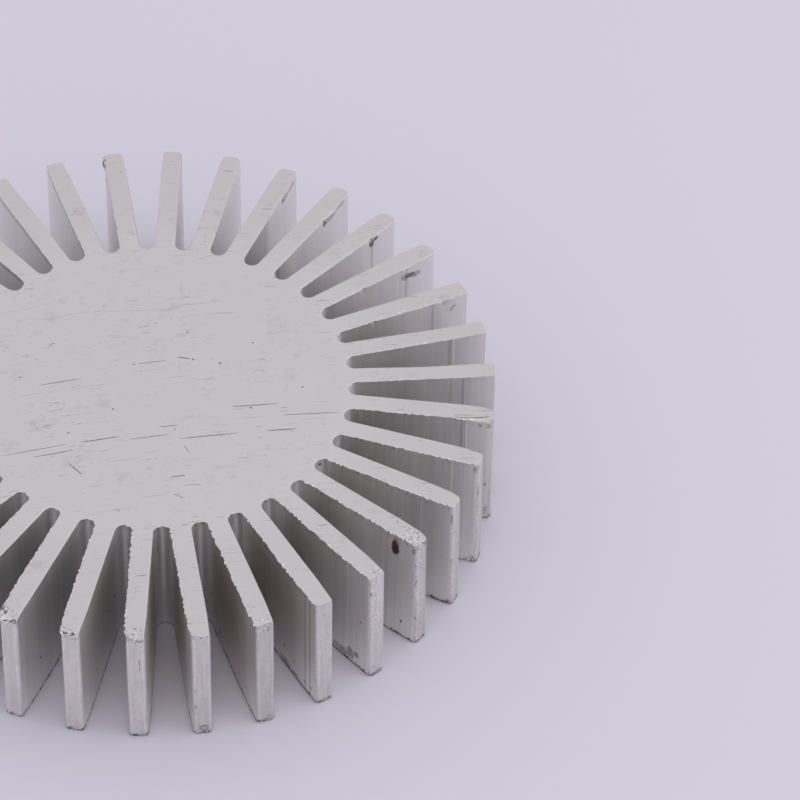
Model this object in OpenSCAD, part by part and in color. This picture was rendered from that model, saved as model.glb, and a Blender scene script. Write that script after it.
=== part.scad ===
// Sunflower heat sink: a length sawn off one aluminium extrusion.
// A solid round core carries a ring of straight radial fins, with an air slot between each two.
// The slots run from face to face and end at the core in full-round roots.
// The origin is the centre of the bottom face, +Z runs along the extrusion, and one fin lies on +X.

/* [Body] */
// Diameter over the fin tips
outer_diameter = 100; // [70:0.5:160]
// Diameter of the solid core, measured at the bottoms of the slots
core_diameter = 57; // [40:0.5:80]
// Length of extrusion that was sawn off, which is the height of the heat sink
height = 21; // [3:0.5:200]

/* [Fins] */
// Number of fins around the core
fin_count = 34; // [12:1:48]
// Thickness of a fin along its parallel part
fin_thickness = 3; // [2.2:0.05:4.5]
// Length of the part behind the tip where the walls lean in
tip_taper_length = 4.5; // [1.5:0.1:10]
// Angle by which each wall leans in there, in degrees
tip_taper_angle = 2; // [0:0.1:4]
// Radius on the two upright corners of a tip
tip_corner_radius = 0.6; // [0.1:0.05:1.2]

/* [Hidden] */
$fn = 96;

// Angle from one fin to the next
fin_pitch = 360 / fin_count;
outer_radius = outer_diameter / 2;
core_radius = core_diameter / 2;
half_fin = fin_thickness / 2;
// Rounds are drawn this much larger, so that each one crosses the two faces it blends
round_overlap = 0.002;

// A slot root touches both walls of its slot and the circle of the core
slot_root_center = (core_radius - half_fin) / (1 - sin(fin_pitch / 2));
slot_root_radius = slot_root_center - core_radius;
// Distance along a fin at which its walls leave the slot roots
wall_start = slot_root_center * cos(fin_pitch / 2);

// Half the thickness of a leaning fin at a distance along it
taper_start = outer_radius - tip_taper_length;
function half_taper(along) = half_fin - (along - taper_start) * tan(tip_taper_angle);

// A corner circle touches the leaning wall and the flat end of the tip
corner_x = outer_radius - tip_corner_radius;
corner_y = half_taper(corner_x) - tip_corner_radius / cos(tip_taper_angle);
// Where the circle touches the leaning wall
corner_wall_x = corner_x + tip_corner_radius * sin(tip_taper_angle);
corner_wall_y = corner_y + tip_corner_radius * cos(tip_taper_angle);

// A point given along and across fin number i, in the frame of the whole section
function on_fin(i, along, across) = [
    along * cos(i * fin_pitch) - across * sin(i * fin_pitch),
    along * sin(i * fin_pitch) + across * cos(i * fin_pitch)
];

// Places one copy of a shape at each fin
module at_each_fin() {
    for (i = [0 : fin_count - 1])
        rotate(i * fin_pitch) children();
}

// The section with sharp tip corners, and with a flat across the mouth of each slot root
module sharp_outline() {
    half = [
        [wall_start, half_fin],
        [taper_start, half_fin],
        [outer_radius, half_taper(outer_radius)]
    ];
    polygon([
        for (i = [0 : fin_count - 1])
            each [
                for (point = half) on_fin(i, point.x, -point.y),
                for (j = [len(half) - 1 : -1 : 0]) on_fin(i, half[j].x, half[j].y)
            ]
    ]);
}

// What one rounded tip corner takes away, on the fin along +X
module corner_waste() {
    difference() {
        polygon([
            [corner_x, corner_y],
            [corner_wall_x, corner_wall_y],
            [corner_wall_x, fin_thickness],
            [outer_radius + half_fin, fin_thickness],
            [outer_radius + half_fin, corner_y]
        ]);
        translate([corner_x, corner_y]) circle(r = tip_corner_radius + round_overlap);
    }
}

// The round bottom of one slot, halfway between two fins
module slot_root() {
    rotate(fin_pitch / 2)
        translate([slot_root_center, 0]) circle(r = slot_root_radius + round_overlap);
}

// The cross-section of the extrusion
module section() {
    difference() {
        sharp_outline();
        at_each_fin() slot_root();
        at_each_fin() {
            corner_waste();
            mirror([0, 1]) corner_waste();
        }
    }
}

module heat_sink() {
    color("silver") linear_extrude(height) section();
}

heat_sink();
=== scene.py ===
"""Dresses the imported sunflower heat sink: one sawn length of aluminium extrusion on a pale table.

The body is modelled in the order in which the real one is made. Half a fin is drawn, mirrored and
repeated around the core, and the section is pulled down to its length. The saw's burrs and the knocks
of use come last.
"""

import logging
import math
from collections.abc import Callable
from dataclasses import dataclass, field
from enum import Enum, IntEnum

import bmesh
import bpy
import numpy as np
from mathutils import Matrix, Vector, noise


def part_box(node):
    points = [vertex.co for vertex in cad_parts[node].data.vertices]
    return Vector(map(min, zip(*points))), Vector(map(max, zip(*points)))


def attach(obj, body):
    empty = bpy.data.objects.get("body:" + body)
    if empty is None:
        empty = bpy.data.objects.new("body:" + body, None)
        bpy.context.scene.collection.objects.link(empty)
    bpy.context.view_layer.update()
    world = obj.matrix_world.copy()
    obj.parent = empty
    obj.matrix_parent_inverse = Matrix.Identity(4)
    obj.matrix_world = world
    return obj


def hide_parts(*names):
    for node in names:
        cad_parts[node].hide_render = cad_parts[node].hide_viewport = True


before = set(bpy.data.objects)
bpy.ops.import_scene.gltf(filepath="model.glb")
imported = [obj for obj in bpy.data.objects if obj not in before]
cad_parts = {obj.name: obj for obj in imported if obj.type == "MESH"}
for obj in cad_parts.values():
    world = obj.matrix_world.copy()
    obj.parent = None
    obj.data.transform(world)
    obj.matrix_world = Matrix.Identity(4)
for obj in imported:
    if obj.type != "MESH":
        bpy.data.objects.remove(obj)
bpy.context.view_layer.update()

log = logging.getLogger("heat_sink")

MM = 0.001
NODE = "heat_sink"
BODY = "root"
FIN_COUNT = 34
FIN_PITCH = 2 * math.pi / FIN_COUNT
# Sizes that place things on the part, in mm: its top face, the tips and the walls of a fin
TOP = 21.0
TIP = 50.0
HALF_FIN = 1.5
TAPER_LENGTH = 4.5
TAPER_START = TIP - TAPER_LENGTH
TAPER_ANGLE = math.radians(2.0)
# Middle and height of a spot that covers a wall from top to bottom, in mm
MID_WALL = 10.0
WHOLE_WALL = 400.0
# How strongly noise moves the outline of a spot, and the distances at which its mask is 0 and 1
SPOT_UNEVENNESS = 1.2
SPOT_OUTSIDE = 1.9
SPOT_INSIDE = 1.3
# Points closer than this are one point
TOUCH = MM / 1000
# Reach of a dent that runs down a whole tip, and width of the faintest scratches, in mm
WHOLE_TIP = 25.0
FAINT_WIDTH = 0.1

Colour = tuple[float, float, float]
Place = tuple[float, float, float]


def display_colour(red: int, green: int, blue: int) -> Colour:
    """Turns a colour as a screen shows it into the linear one that shaders take.

    Args:
        red: Red from 0 to 255.
        green: Green from 0 to 255.
        blue: Blue from 0 to 255.

    Returns:
        The three linear parts, from 0 to 1.
    """

    def linear(part: int) -> float:
        """Undoes the screen's curve for one part."""
        share = part / 255
        return share / 12.92 if share <= 0.04045 else ((share + 0.055) / 1.055) ** 2.4

    return linear(red), linear(green), linear(blue)


class Skin(IntEnum):
    """The material slots of the body, in order."""

    SAWN = 0
    WALL = 1
    TIP = 2
    SCRATCH = 3
    STAIN = 4
    FAINT = 5


class Axis(Enum):
    """The coordinates that a mask can run along, by their names in a graph."""

    X = "x"
    Y = "y"
    OUT = "out"


class Element(Enum):
    """What a pick in edit mode selects."""

    VERT = "verts"
    EDGE = "edges"
    FACE = "faces"


class Value:
    """A number, colour or vector on its way through a shader graph. Arithmetic adds Math nodes."""

    def __init__(self, graph: "Graph", socket: bpy.types.NodeSocket) -> None:
        """Keeps the graph and the output socket that gives the value."""
        self.graph = graph
        self.socket = socket

    def __add__(self, other: "Value | float") -> "Value":
        """This value plus another."""
        return self.graph.math("ADD", self, other)

    def __radd__(self, other: float) -> "Value":
        """A number plus this value."""
        return self.graph.math("ADD", other, self)

    def __sub__(self, other: "Value | float") -> "Value":
        """This value less another."""
        return self.graph.math("SUBTRACT", self, other)

    def __rsub__(self, other: float) -> "Value":
        """A number less this value."""
        return self.graph.math("SUBTRACT", other, self)

    def __mul__(self, other: "Value | float") -> "Value":
        """This value times another."""
        return self.graph.math("MULTIPLY", self, other)

    def __rmul__(self, other: float) -> "Value":
        """A number times this value."""
        return self.graph.math("MULTIPLY", other, self)

    def either(self, other: "Value | float") -> "Value":
        """The larger of this value and another."""
        return self.graph.math("MAXIMUM", self, other)

    def rise(self, low: float, high: float) -> "Value":
        """A mask that goes smoothly from 0 to 1, or down where low is the larger.

        Args:
            low: Value at which the mask is 0.
            high: Value at which it is 1.

        Returns:
            The mask.
        """
        falls = low > high
        settings = {"interpolation_type": "SMOOTHSTEP"}
        ends = {"Value": self, "From Min": min(low, high), "From Max": max(low, high)}
        out = {"To Min": 1.0 if falls else 0.0, "To Max": 0.0 if falls else 1.0}
        return self.graph.value("ShaderNodeMapRange", settings, {**ends, **out})

    def band(self, middle: float, half_width: float) -> "Value":
        """A mask that is 1 at a middle value and falls to 0 a half width away on both sides."""
        away = self.graph.math("ABSOLUTE", self - middle)
        return away.rise(half_width, 0.0)


@dataclass(frozen=True)
class Grain:
    """A soft noise: how many lumps it has to a mm, how many finer layers, and how strong those are."""

    scale: float
    detail: float = 2.0
    rough: float = 0.5


class Graph:
    """The node graph of one material, with its shader and the piece's own coordinates in mm."""

    def __init__(self, name: str) -> None:
        """Adds the material, its shader and its output.

        Args:
            name: Name of the material.
        """
        self.material = bpy.data.materials.new(name)
        self.material.use_nodes = True
        self.nodes = self.material.node_tree.nodes
        self.links = self.material.node_tree.links
        self.nodes.clear()
        self.shader = self.node("ShaderNodeBsdfPrincipled")
        shown = self.node("ShaderNodeOutputMaterial")
        self.links.new(self.shader.outputs["BSDF"], shown.inputs["Surface"])
        place = self.value("ShaderNodeTexCoord", output="Object")
        in_mm = {0: place, "Scale": 1 / MM}
        self.place = self.value("ShaderNodeVectorMath", {"operation": "SCALE"}, in_mm)
        parts = self.node("ShaderNodeSeparateXYZ", inputs={0: self.place})
        self.x, self.y, self.z = (Value(self, parts.outputs[axis]) for axis in "XYZ")
        self.out = self.math("SQRT", self.x * self.x + self.y * self.y)

    def node(
        self, kind: str, settings: dict | None = None, inputs: dict | None = None
    ) -> bpy.types.Node:
        """Adds any node.

        Args:
            kind: Type of the node.
            settings: Properties, which are set first.
            inputs: Values or links of its sockets, by name or number.

        Returns:
            The node.
        """
        added = self.nodes.new(kind)
        for name, setting in (settings or {}).items():
            setattr(added, name, setting)
        for name, given in (inputs or {}).items():
            if isinstance(given, Value):
                self.links.new(given.socket, added.inputs[name])
            else:
                added.inputs[name].default_value = given
        return added

    def value(
        self,
        kind: str,
        settings: dict | None = None,
        inputs: dict | None = None,
        output: str | int = 0,
    ) -> Value:
        """Adds any node and gives one of its outputs.

        Args:
            kind: Type of the node.
            settings: Properties, which are set first.
            inputs: Values or links of its sockets, by name or number.
            output: Name or number of the output.

        Returns:
            That output.
        """
        return Value(self, self.node(kind, settings, inputs).outputs[output])

    def math(self, operation: str, first: Value | float, second: Value | float = 0.0) -> Value:
        """Adds one Math node.

        Args:
            operation: Its operation.
            first: Its first value.
            second: Its second value, if it takes one.

        Returns:
            Its result.
        """
        return self.value("ShaderNodeMath", {"operation": operation}, {0: first, 1: second})

    def vector(self, x: Value | float, y: Value | float, z: Value | float = 0.0) -> Value:
        """Puts three values together as a vector."""
        return self.value("ShaderNodeCombineXYZ", None, {0: x, 1: y, 2: z})

    def noise(self, vector: Value, grain: Grain) -> Value:
        """Soft noise around one half.

        Args:
            vector: Where it is read.
            grain: Its settings.

        Returns:
            The noise.
        """
        inputs = {"Scale": grain.scale, "Detail": grain.detail, "Roughness": grain.rough}
        return self.value("ShaderNodeTexNoise", None, {"Vector": vector, **inputs})

    def mix(self, share: Value, first: Value | Colour, second: Value | Colour) -> Value:
        """Goes from one colour to another.

        Args:
            share: 0 for the first colour, 1 for the second.
            first: The first colour.
            second: The second colour.

        Returns:
            The mixed colour.
        """
        colours = [c if isinstance(c, Value) else (*c, 1.0) for c in (first, second)]
        settings = {"data_type": "RGBA", "clamp_factor": True}
        inputs = {0: share, 6: colours[0], 7: colours[1]}
        return self.value("ShaderNodeMix", settings, inputs, 2)

    def tone(self, colour: Value | Colour, strength: Value) -> Value:
        """Makes a colour lighter or darker by a factor.

        Args:
            colour: The colour.
            strength: The factor, 1 for no change.

        Returns:
            The colour times the factor.
        """
        given = colour if isinstance(colour, Value) else tuple(colour)
        inputs = {0: given, "Scale": strength}
        return self.value("ShaderNodeVectorMath", {"operation": "SCALE"}, inputs)

    def paint(self, colour: Value, *layers: tuple[Value, Colour]) -> Value:
        """Lays colours over another, one after the other.

        Args:
            colour: What lies below.
            layers: The mask and the colour of each layer, from the lowest up.

        Returns:
            The colour that shows.
        """
        for share, layer in layers:
            colour = self.mix(share, colour, layer)
        return colour

    def across_fin(self) -> Value:
        """Distance from the middle of the nearest fin, anticlockwise, in mm."""
        turn = self.math("ARCTAN2", self.y, self.x) * (1 / FIN_PITCH) + 0.5
        return (self.math("FRACT", turn) - 0.5) * FIN_PITCH * self.out

    def dress(
        self,
        colour: Value | Colour,
        roughness: Value | float,
        metallic: Value | float,
        relief: Value | None = None,
        relief_depth: float = 0.0,
    ) -> bpy.types.Material:
        """Sets the shader's sockets.

        Args:
            colour: Base colour.
            roughness: Roughness.
            metallic: Metallic share.
            relief: Height of the fine surface texture, from 0 to 1.
            relief_depth: What a height of 1 is, in mm.

        Returns:
            The finished material.
        """
        given = {"Base Color": colour, "Roughness": roughness, "Metallic": metallic}
        if relief is not None:
            heights = {"Height": relief, "Distance": relief_depth * MM, "Strength": 1.0}
            given["Normal"] = self.value("ShaderNodeBump", None, heights)
        for name, what in given.items():
            if isinstance(what, Value):
                self.links.new(what.socket, self.shader.inputs[name])
            elif name == "Base Color":
                self.shader.inputs[name].default_value = (*what, 1.0)
            else:
                self.shader.inputs[name].default_value = what
        return self.material


@dataclass(frozen=True)
class Spot:
    """A pit, stain, smear or die line on a fin, in mm. Fins are counted clockwise from +X.

    Its place runs along the fin, across it anticlockwise, and up from the table.
    """

    fin: int
    place: Place
    width: float
    height: float

    def mask(self, graph: Graph, ragged: Value | float) -> Value:
        """A mask that is 1 on the spot and 0 away from it.

        Args:
            graph: Graph that the mask is for.
            ragged: Noise around one half, which makes the outline uneven, or one half for an even one.

        Returns:
            The mask.
        """
        turn = Matrix.Rotation(-self.fin * FIN_PITCH, 3, "Z")
        scale = (2 / self.width, 2 / self.width, 2 / self.height)
        away = {0: graph.place, 1: tuple(turn @ Vector(self.place))}
        gap = graph.value("ShaderNodeVectorMath", {"operation": "SUBTRACT"}, away)
        gap = graph.value("ShaderNodeVectorMath", {"operation": "MULTIPLY"}, {0: gap, 1: scale})
        gap = graph.value("ShaderNodeVectorMath", {"operation": "LENGTH"}, {0: gap}, "Value")
        return (gap + ragged * SPOT_UNEVENNESS).rise(SPOT_OUTSIDE, SPOT_INSIDE)


def spots_mask(graph: Graph, spots: tuple[Spot, ...], ragged: Value | float = 0.5) -> Value:
    """Puts the masks of several spots together.

    Args:
        graph: Graph that the mask is for.
        spots: The spots.
        ragged: Noise around one half, which makes the outlines uneven, or one half for even ones.

    Returns:
        The joint mask.
    """
    masks = [spot.mask(graph, ragged) for spot in spots]
    joint = masks[0]
    for mask in masks[1:]:
        joint = joint.either(mask)
    return joint


def die_line(fin: int, along: float, width: float, bend: float = 0.0) -> Spot:
    """An upright line that the die drew on the clockwise wall of a fin.

    Args:
        fin: Number of the fin.
        along: Its distance along the fin, in mm.
        width: Its width, in mm.
        bend: How far the fin is bent clockwise there, in mm.

    Returns:
        The line.
    """
    lean = max(0.0, along - TAPER_START) * math.tan(TAPER_ANGLE)
    return Spot(fin, (along, lean - HALF_FIN - bend, MID_WALL), width, WHOLE_WALL)


def top_smear(x: float, y: float, width: float) -> Spot:
    """A soft mark on the top face, in mm."""
    return Spot(0, (x, y, TOP), width, height=3.0)


def top_scuff(fin: int, along: float, across: float, width: float) -> Spot:
    """A scuffed place on the top of a fin, in mm."""
    return Spot(fin, (along, across, TOP), width, height=4.0)


@dataclass(frozen=True)
class Rise:
    """A mask that goes from 0 to 1 along one coordinate, in mm."""

    axis: Axis
    low: float
    high: float

    def mask(self, graph: Graph) -> Value:
        """The mask in a graph."""
        return getattr(graph, self.axis.value).rise(self.low, self.high)


@dataclass(frozen=True)
class Band:
    """A mask that is 1 at its middle and 0 a half width away along one coordinate, in mm."""

    axis: Axis
    middle: float
    half_width: float

    def mask(self, graph: Graph) -> Value:
        """The mask in a graph."""
        return getattr(graph, self.axis.value).band(self.middle, self.half_width)


@dataclass(frozen=True)
class LightPatch:
    """A part of the walls with painted light, or painted shade where its tone is below 0."""

    tone: float
    ranges: tuple[Rise | Band, ...]

    def shade(self, graph: Graph) -> Value:
        """What the patch adds to the tone of the walls.

        Args:
            graph: Graph that the value is for.

        Returns:
            The tone inside all its ranges, and 0 away from them.
        """
        shade = self.ranges[0].mask(graph)
        for each in self.ranges[1:]:
            shade = shade * each.mask(graph)
        return shade * self.tone


@dataclass(frozen=True)
class SawStroke:
    """The arcs that the saw's teeth left across both faces, seen from above, in mm."""

    turn: float = 6.2
    turn_per_mm: float = -0.25

    def turn_at(self, x: float) -> float:
        """Angle of a stroke against +X at one place, in radians."""
        return math.radians(self.turn + self.turn_per_mm * x)

    def across(self, graph: Graph) -> Value:
        """Distance across the strokes, which is the same all along one arc.

        Args:
            graph: Graph that the value is for.

        Returns:
            The distance in mm.
        """
        slope = math.tan(math.radians(self.turn))
        bend = math.radians(self.turn_per_mm) / 2
        return graph.y - graph.x * slope - graph.x * graph.x * bend


@dataclass(frozen=True)
class SawnFinish:
    """The sawn faces: satin aluminium with fine arcs, hair scratches, specks and handling smudges, with
    painted glints along the burred edges and painted shade and glints on the crushed and scuffed tip
    tops.
    """

    stroke: SawStroke = SawStroke()
    metal: Colour = display_colour(207, 203, 204)
    scratch: Colour = display_colour(140, 136, 130)
    smudge: Colour = display_colour(174, 170, 169)
    stain: Colour = display_colour(176, 155, 146)
    # Dark of the painted shade in the crushed metal of some tip tops
    crushed_shade: Colour = display_colour(70, 65, 58)
    brightness: float = 0.925
    roughness: float = 0.42
    relief_depth: float = 0.004
    brushing: Grain = Grain(1.0, 4.0, 0.65)
    clouds: Grain = Grain(0.12, 3.0)
    patches: Grain = Grain(0.13, 2.0)
    long_hairs: Grain = Grain(1.0, 4.0, 0.7)
    short_hairs: Grain = Grain(1.0, 3.0, 0.6)
    specks: Grain = Grain(1.5, 2.0, 0.6)
    grime: Grain = Grain(0.5, 5.0, 0.65)
    outlines: Grain = Grain(1.3, 4.0, 0.7)
    scuffing: Grain = Grain(2.3, 2.0, 0.7)
    burr_glints: Grain = Grain(1.7, 2.0, 0.7)

    def material(self) -> bpy.types.Material:
        """Builds the finish.

        Returns:
            The material.
        """
        graph = Graph("sawn_face")
        x, out, place = graph.x, graph.out, graph.place
        stroke = self.stroke.across(graph)
        brushed = graph.noise(graph.vector(x * 0.06, stroke * 3.2), self.brushing)
        cloud = graph.noise(place, self.clouds)
        patch = graph.noise(graph.vector(x, graph.y, 9.0), self.patches).rise(0.40, 0.58)
        long_field = graph.noise(graph.vector(x * 0.07, stroke * 1.5, 5.0), self.long_hairs)
        short_field = graph.noise(graph.vector(x * 0.3, stroke * 2.8, 31.0), self.short_hairs)
        hair = long_field.rise(0.61, 0.70) * 0.35 + short_field.rise(0.61, 0.71) * patch * 0.75
        glint = short_field.rise(0.32, 0.26) * patch
        specks = graph.noise(place, self.specks).rise(0.70, 0.76) * patch
        grime = graph.noise(place, self.grime).rise(0.55, 0.72) * cloud.rise(0.42, 0.6)
        ragged = graph.noise(place, self.outlines)
        grain = graph.noise(place, self.scuffing)
        # Scuffed and crushed tip tops: their lighter and darker spots and the crushed metal's dark
        # stripes are painted glints and painted shade of the crumpled metal
        scuff = spots_mask(graph, TOP_SCUFFS, ragged)
        smear = spots_mask(graph, TOP_SMEARS, ragged) * ragged.rise(0.40, 0.62)
        stained = spots_mask(graph, TOP_STAINS, ragged) * ragged.rise(0.36, 0.62)
        crushed_shade = spots_mask(graph, CRUSHED_TIPS, ragged) * grain.rise(0.52, 0.44)
        # Painted glints: bright spots along the burred clockwise edges of the fins
        burr = graph.across_fin().rise(-1.25, -1.5) * out.rise(29.0, 31.0)
        burr = burr * graph.noise(place, self.burr_glints).rise(0.58, 0.68)
        lit = self.brightness + brushed * 0.07 + cloud * 0.03 + glint * 0.05
        lit = lit - out.rise(29.0, 38.0) * 0.04 + burr * 0.4 + scuff * (grain - 0.5) * 1.1
        colour = graph.paint(
            graph.tone(self.metal, lit),
            (hair.either(specks * 0.7), self.scratch),
            (grime * 0.35, self.smudge),
            (smear * 0.2, self.scratch),
            (stained * 0.6, self.stain),
            (scuff * grain.rise(0.42, 0.32) * 0.8, self.scratch),
            (crushed_shade * 0.85, self.crushed_shade),
        )
        rough = self.roughness + brushed * 0.12 + grime * 0.1
        relief = brushed * 0.6 - hair * 0.4 + scuff * grain * 24.0
        return graph.dress(colour, rough, 1.0, relief, self.relief_depth)


@dataclass(frozen=True)
class WallFinish:
    """The drawn fin walls: upright die lines, painted shadow below the burr, dirt and painted contact
    shadow at the foot, and rust spots.
    """

    metal: Colour = display_colour(237, 235, 233)
    # Warm tint of the painted shade on the walls at the front left
    shade_tint: Colour = display_colour(235, 227, 221)
    # Dark of the dirt, also used for the painted shadows below the burr, under some top edges and along
    # the foot
    dirt: Colour = display_colour(66, 57, 50)
    rust: Colour = display_colour(34, 20, 17)
    rust_rim: Colour = display_colour(106, 62, 48)
    pit: Colour = display_colour(58, 54, 54)
    brightness: float = 0.97
    roughness: float = 0.36
    relief_depth: float = 0.03
    # How much the upright lines change over a mm of height
    drift: float = 0.012
    lines: Grain = Grain(1.1, 6.0, 0.75)
    fine_lines: Grain = Grain(4.2, 3.0, 0.6)
    outlines: Grain = Grain(1.6, 4.0, 0.7)
    grime: Grain = Grain(1.2, 4.0, 0.7)
    specks: Grain = Grain(2.4, 3.0, 0.6)
    burr_shadows: Grain = Grain(2.4, 3.0, 0.7)
    pitting: Grain = Grain(5.0)

    def material(self) -> bpy.types.Material:
        """Builds the finish.

        Returns:
            The material.
        """
        graph = Graph("drawn_wall")
        x, y, out = graph.x, graph.y, graph.out
        drawn = graph.z * self.drift
        lines = graph.noise(graph.vector(x, y, drawn), self.lines)
        fine = graph.noise(graph.vector(x, y, drawn + 17.0), self.fine_lines)
        ragged = graph.noise(graph.place, self.outlines)
        # Painted shade: the middle of the walls at the front left is darker and warmer
        front_left_shade = x.rise(24.0, 6.0) * y.rise(-20.0, -30.0) * x.rise(-9.0, -4.0)
        front_left_shade = front_left_shade * out.rise(49.0, 41.0) * out.rise(30.0, 32.5)
        streaks = ((lines - 0.5) * 0.36 + (fine - 0.5) * 0.26) * (1.0 - y.rise(-8.0, 8.0) * 0.4)
        lit = self.brightness + streaks - front_left_shade * 0.06
        # Painted light and shade on parts of the walls
        for patch in WALL_LIGHT_PATCHES:
            lit = lit + patch.shade(graph)
        # Painted shade deep in some slot roots at the back right
        lit = lit - spots_mask(graph, SHADED_ROOTS) * 0.22
        lit = lit + spots_mask(graph, BRIGHT_LINES) * 0.3 - spots_mask(graph, DARK_LINES) * 0.2
        # Dirt and painted shadows, both in the dirt's colour
        dirt = self._dirt_and_shadows(graph, ragged)
        pits = spots_mask(graph, WALL_PITS + CORNER_PITS, ragged)
        pits = pits * graph.noise(graph.place, self.pitting).rise(0.42, 0.56)
        rust = spots_mask(graph, RUST_SPOTS, ragged)
        colour = graph.paint(
            graph.tone(graph.mix(front_left_shade, self.metal, self.shade_tint), lit),
            (dirt, self.dirt),
            (pits * 0.7, self.pit),
            (rust, self.rust_rim),
            (spots_mask(graph, RUST_CORES, ragged), self.rust),
        )
        rough = self.roughness + lines * 0.16 + dirt * 0.2 + rust * 0.3
        relief = lines * 0.6 - rust * 0.6
        return graph.dress(colour, rough, 1.0 - rust * 0.9, relief, self.relief_depth)

    def _dirt_and_shadows(self, graph: Graph, ragged: Value) -> Value:
        """The dirt at the foot, in specks and in stains, with painted shadows below the burr, under some
        top edges and along the foot.

        Args:
            graph: Graph that the mask is for.
            ragged: Noise around one half, which makes the outlines uneven.

        Returns:
            The mask of the dirt and the painted shadows.
        """
        x, y, z = graph.x, graph.y, graph.z
        across = graph.across_fin()
        grain = graph.noise(graph.place, self.grime)
        foot = (z + ragged * 3.0).rise(2.25, 1.5) * grain.rise(0.36, 0.52)
        foot = foot * graph.out.rise(29.8, 32.0)
        # Painted contact shadow, partly dirt: a dark line along the foot of the walls at the front
        foot_shadow_and_dirt = (z + ragged * 1.8).rise(1.5, 1.1) * x.rise(-12.0, -4.0)
        foot = foot.either(foot_shadow_and_dirt * y.rise(-24.0, -34.0))
        specks = graph.noise(graph.place, self.specks).rise(0.68, 0.74) * z.rise(20.0, 2.0)
        # Painted shadow below the burr: dark specks under the clockwise top edges towards the front, and
        # a dark band under the anticlockwise top edges at the back left
        torn = graph.noise(graph.place, self.burr_shadows).rise(0.53, 0.66) * z.rise(18.9, 20.6)
        torn = torn * across.rise(0.2, -0.2) * y.rise(6.0, -28.0)
        shaded = z.rise(19.6, 20.9) * across.rise(-0.2, 0.2)
        shaded = shaded * x.rise(5.0, -5.0) * y.rise(0.0, 15.0)
        torn = torn.either(shaded * 0.7)
        grime = spots_mask(graph, WALL_DIRT, ragged) * (grain * 1.6 - 0.25)
        grime = grime.either(spots_mask(graph, DARK_STAINS, ragged))
        # Painted shadow under the top edges of two fins at the back right
        edges = spots_mask(graph, EDGE_SHADES, ragged)
        dirt = (foot * 0.85).either(specks * 0.8).either(torn * 0.6)
        return dirt.either(grime * 0.75).either(edges * 0.35)


@dataclass(frozen=True)
class TipFinish:
    """The ends of the fins: the same metal in upright streaks, pitted by handling, dirty at the foot,
    with painted highlights down their corners and painted light and shade by place.
    """

    metal: Colour = display_colour(232, 229, 228)
    pit: Colour = display_colour(74, 69, 69)
    dirt: Colour = display_colour(74, 65, 58)
    # Distance across a fin of the painted highlights on the tip corners, in mm
    edge: float = 1.02
    brightness: float = 0.89
    roughness: float = 0.5
    relief_depth: float = 0.05
    mottling: Grain = Grain(0.8, 5.0, 0.65)
    streaks: Grain = Grain(2.4, 4.0, 0.65)
    outlines: Grain = Grain(1.6, 4.0, 0.7)
    scuffing: Grain = Grain(2.6, 3.0, 0.7)
    pits: Grain = Grain(2.2, 3.0, 0.6)
    pitting: Grain = Grain(5.0)

    def material(self) -> bpy.types.Material:
        """Builds the finish.

        Returns:
            The material.
        """
        graph = Graph("fin_tip")
        x, y, z, place = graph.x, graph.y, graph.z, graph.place
        mottle = graph.noise(place, self.mottling)
        upright = graph.noise(graph.vector(x, y, z * 0.06), self.streaks)
        ragged = graph.noise(place, self.outlines)
        grain = graph.noise(place, self.scuffing)
        # Painted highlight: a bright band down both corners of each tip
        edges = graph.math("ABSOLUTE", graph.across_fin()).band(self.edge, 0.2)
        scuff = spots_mask(graph, TIP_SCUFFS, ragged)
        worn = spots_mask(graph, TIP_WORN, ragged)
        spotted = spots_mask(graph, CORNER_PITS + TIP_PITS, ragged)
        spotted = spotted * graph.noise(place, self.pitting).rise(0.42, 0.56)
        pits = (graph.noise(place, self.pits) + x.rise(16.0, 26.0) * 0.04).rise(0.68, 0.74)
        pits = (pits * 0.6).either(spotted * 0.6).either(scuff * grain.rise(0.48, 0.36) * 0.8)
        foot = (z + ragged * 3.6).rise(2.6, 1.8) * grain.rise(0.36, 0.5)
        grime = spots_mask(graph, TIP_DIRT, ragged) * grain.rise(0.44, 0.6)
        lit = self.brightness + (mottle - 0.5) * 0.28 + (upright - 0.5) * 0.36 + edges * 0.1
        lit = lit + scuff * (grain - 0.45) * 0.8 + worn * ((grain - 0.5) * 0.8 + 0.04)
        # Painted light and shade by place: the tips on the left lighter, those far on the right and
        # those at the front right of the middle darker
        lit = lit + x.rise(2.0, -14.0) * 0.04 - x.rise(30.0, 38.0) * 0.1
        lit = lit - x.band(13.0, 11.0) * y.rise(0.0, -20.0) * 0.09
        colour = graph.paint(
            graph.tone(self.metal, lit),
            (pits, self.pit),
            ((foot * 0.8).either(grime * 0.6), self.dirt),
        )
        rough = self.roughness + mottle * 0.1
        relief = mottle * 0.5 - pits * 0.5 + (scuff * 1.5 + worn * 0.7) * grain
        return graph.dress(colour, rough, 1.0, relief, self.relief_depth)


@dataclass(frozen=True)
class PlainMetal:
    """Bare metal of one tone with a little unevenness, for the floors of scratches and stains. The
    darker tones on the floors of scratches paint their shade.
    """

    name: str
    metal: Colour
    roughness: float
    unevenness: float
    patches: Grain = Grain(1.4, 3.0)

    def material(self) -> bpy.types.Material:
        """Builds the finish.

        Returns:
            The material.
        """
        graph = Graph(self.name)
        patches = graph.noise(graph.place, self.patches)
        strength = (1.0 - self.unevenness / 2) + patches * self.unevenness
        return graph.dress(graph.tone(self.metal, strength), self.roughness, 1.0)


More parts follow.
